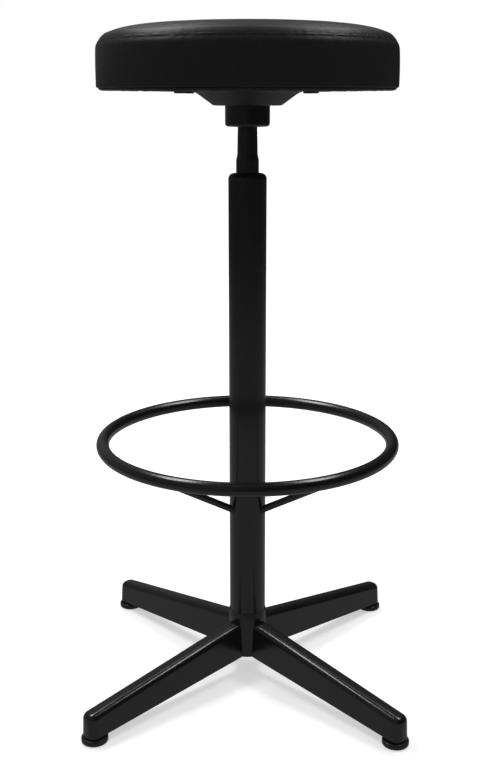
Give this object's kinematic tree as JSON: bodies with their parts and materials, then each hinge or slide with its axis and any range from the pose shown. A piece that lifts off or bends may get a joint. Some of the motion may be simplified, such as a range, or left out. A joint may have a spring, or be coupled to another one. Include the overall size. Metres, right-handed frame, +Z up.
{
  "type": "bar stool",
  "caption": "Tall black bar stool: round padded leatherette seat that swivels on a steel column, foot ring held by braces, and a base of channel legs on round glides.",
  "frame": {"origin": "on the floor, under the column's axis", "axes": "+Z up along the column, -Y the picture's front, +X to the right seen from the front"},
  "size_m": [0.3876, 0.3876, 0.8205],
  "materials": {
    "powder_coat": "black powder coat, satin, fine orange peel",
    "spindle_black": "black oxide on turned steel, semi-gloss",
    "bush_plastic": "black nylon",
    "glide_plastic": "black hard plastic, worn matt at the sole",
    "bearing_steel": "ground bearing steel",
    "zinc_steel": "zinc plated",
    "leatherette": "black leatherette, fine grain, satin",
    "seat_foam": "open cell foam",
    "plywood": "birch plywood",
    "dust_cloth": "black non-woven cloth"
  },
  "bodies": {
    "base": {"hub_sleeve": "powder_coat", "column_tube": "powder_coat", "foot_ring": "powder_coat", "bearing_plate": "zinc_steel", "top_bush": "bush_plastic", "lower_bush": "bush_plastic", "column_plug": "bush_plastic", "glide_studs": "zinc_steel", "lower_race": "bearing_steel", "leg_front_left": "powder_coat", "glide_front_left": "glide_plastic", "glide_socket_front_left": "bush_plastic", "leg_front_right": "powder_coat", "glide_front_right": "glide_plastic", "glide_socket_front_right": "bush_plastic", "leg_rear_right": "powder_coat", "glide_rear_right": "glide_plastic", "glide_socket_rear_right": "bush_plastic", "leg_rear_left": "powder_coat", "glide_rear_left": "glide_plastic", "glide_socket_rear_left": "bush_plastic", "brace_front_left": "powder_coat", "brace_front_right": "powder_coat", "brace_rear": "powder_coat"},
    "bearing": {"bearing_cage": "zinc_steel", "bearing_balls": "bearing_steel"},
    "seat": {"spindle": "spindle_black", "upper_race": "bearing_steel", "retaining_washer": "zinc_steel", "retaining_clip": "spindle_black", "taper_hub": "powder_coat", "seat_plate": "powder_coat", "plate_screws": "spindle_black", "seat_board": "plywood", "tee_nuts": "zinc_steel", "seat_foam": "seat_foam", "seat_cover_top": "leatherette", "seat_cover_band": "leatherette", "dust_cover": "dust_cloth", "cover_staples": "zinc_steel"}
  },
  "joints": [
    {"name": "seat_swivel", "type": "hinge", "parent": "base", "child": "seat", "pos_m": [0, 0, 0.65], "axis": [0, 0, 1], "continuous": true},
    {"name": "cage_roll", "type": "hinge", "parent": "base", "child": "bearing", "pos_m": [0, 0, 0.4645], "axis": [0, 0, 1], "continuous": true}
  ],
  "couplings": [
    {"joint": "cage_roll", "follows": "seat_swivel", "ratio": 0.5}
  ]
}
